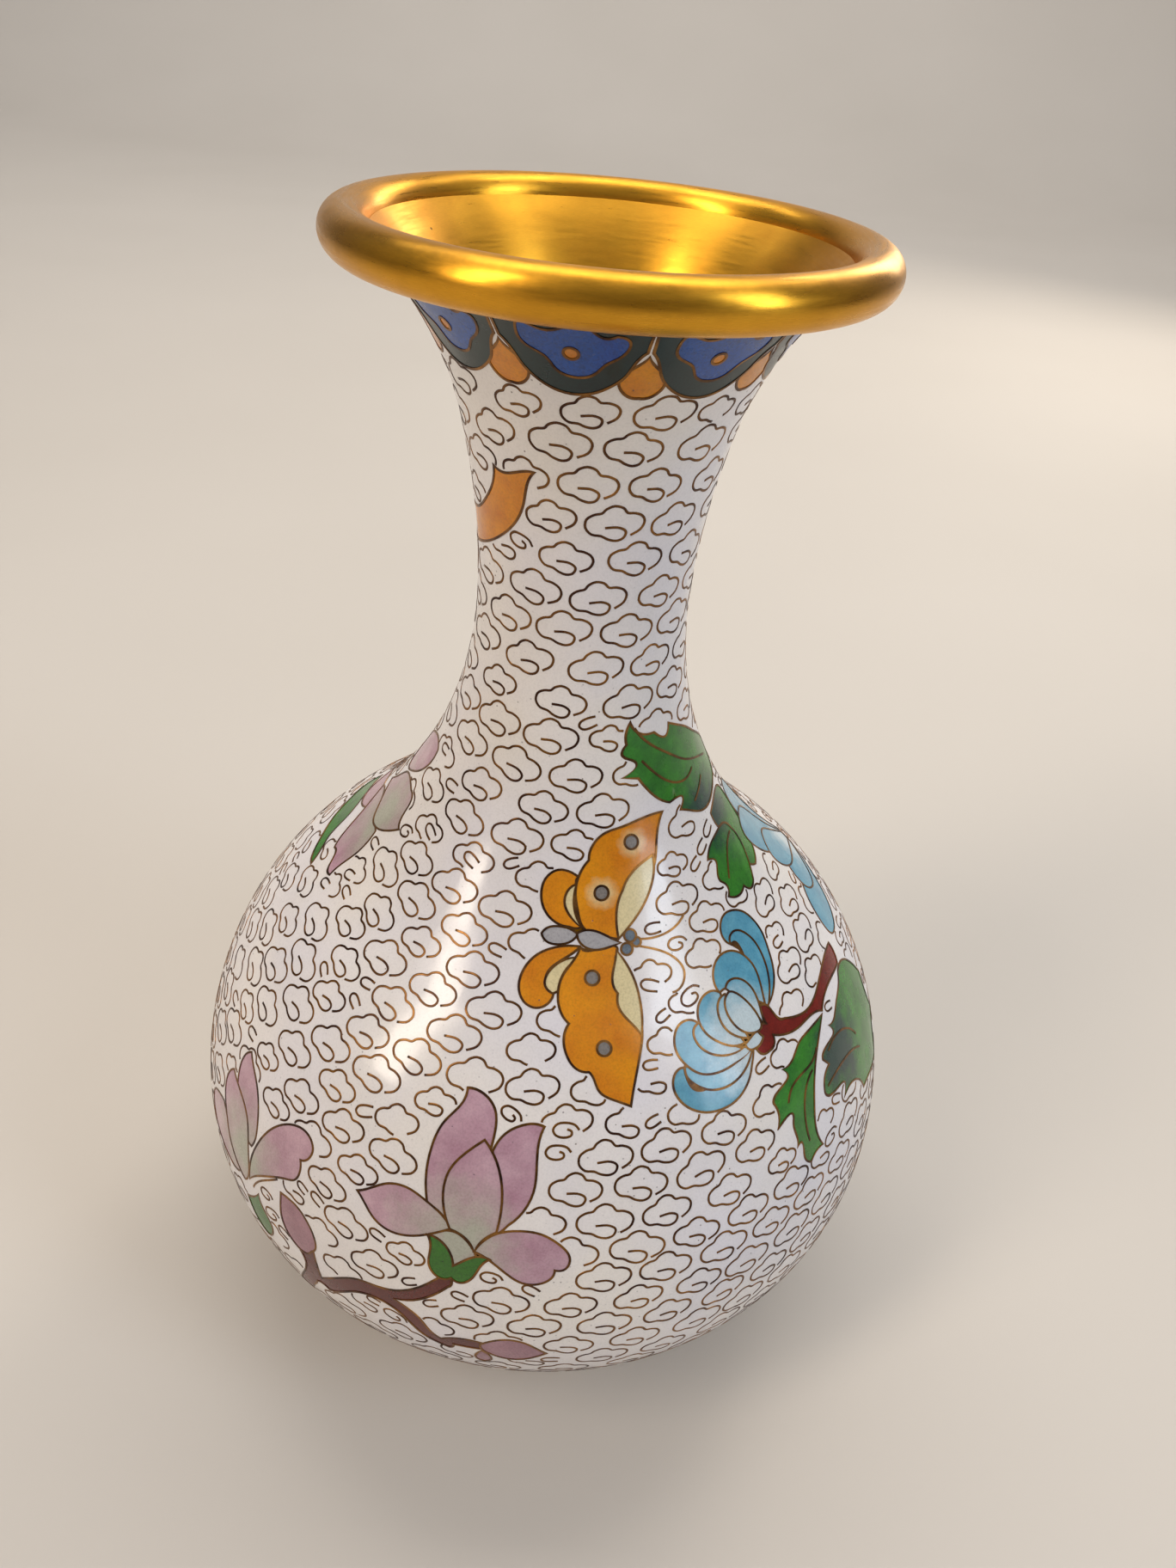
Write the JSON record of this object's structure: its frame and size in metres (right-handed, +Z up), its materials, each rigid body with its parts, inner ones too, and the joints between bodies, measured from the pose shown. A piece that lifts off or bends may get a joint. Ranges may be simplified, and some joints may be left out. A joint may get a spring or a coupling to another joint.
{
  "type": "cloisonne vase",
  "caption": "Bottle-shaped copper vase with a flared gilt mouth bead, enamelled with flowers, butterflies and cloud wires on a white ground.",
  "frame": {"origin": "centre of the foot ring on the table", "axes": "+Z up the vase's axis, -Y towards the front with the shoulder butterfly"},
  "size_m": [0.1324, 0.1325, 0.203],
  "materials": {
    "neck_shell": "gilt copper, satin, spun inside the throat",
    "belly_shell": "spun copper, hidden under enamel",
    "mouth_ring": "satin gilt brass bead",
    "foot_ring": "turned gilt brass",
    "base_plate": "copper disc",
    "inner_enamel": "fired counter-enamel, slightly rough",
    "base_enamel": "fired counter-enamel, slightly rough",
    "ground_enamel": "glossy fired glass",
    "butterfly_eyespots": "glossy fired glass",
    "butterfly_head": "glossy fired glass",
    "butterfly_body": "glossy fired glass",
    "butterfly_patches": "glossy fired glass",
    "butterfly_wings": "glossy fired glass",
    "butterfly_wires": "flat drawn wire, darkened",
    "neck_butterfly_wings": "glossy fired glass",
    "neck_butterfly_body": "glossy fired glass",
    "neck_butterfly_wires": "flat drawn wire, darkened",
    "magnolia_calyxes": "glossy fired glass",
    "magnolia_petals": "glossy fired glass",
    "magnolia_buds": "glossy fired glass",
    "magnolia_branches": "glossy fired glass",
    "magnolia_wires": "flat drawn wire, darkened",
    "flower_petals": "glossy fired glass",
    "flower_stems": "glossy fired glass",
    "leaves": "glossy fired glass",
    "flower_wires": "flat drawn wire, darkened",
    "collar_dots": "glossy fired glass",
    "collar_blossoms": "glossy fired glass",
    "collar_lappets": "glossy fired glass",
    "collar_tongues": "glossy fired glass",
    "collar_wires": "flat drawn wire, darkened"
  },
  "bodies": {
    "root": {"neck_shell": "neck_shell", "belly_shell": "belly_shell", "mouth_ring": "mouth_ring", "foot_ring": "foot_ring", "base_plate": "base_plate", "inner_enamel": "inner_enamel", "base_enamel": "base_enamel", "ground_enamel": "ground_enamel", "butterfly_eyespots": "butterfly_eyespots", "butterfly_head": "butterfly_head", "butterfly_body": "butterfly_body", "butterfly_patches": "butterfly_patches", "butterfly_wings": "butterfly_wings", "butterfly_wires": "butterfly_wires", "neck_butterfly_wings": "neck_butterfly_wings", "neck_butterfly_body": "neck_butterfly_body", "neck_butterfly_wires": "neck_butterfly_wires", "magnolia_calyxes": "magnolia_calyxes", "magnolia_petals": "magnolia_petals", "magnolia_buds": "magnolia_buds", "magnolia_branches": "magnolia_branches", "magnolia_wires": "magnolia_wires", "flower_petals": "flower_petals", "flower_stems": "flower_stems", "leaves": "leaves", "flower_wires": "flower_wires", "collar_dots": "collar_dots", "collar_blossoms": "collar_blossoms", "collar_lappets": "collar_lappets", "collar_tongues": "collar_tongues", "collar_wires": "collar_wires"}
  },
  "joints": []
}
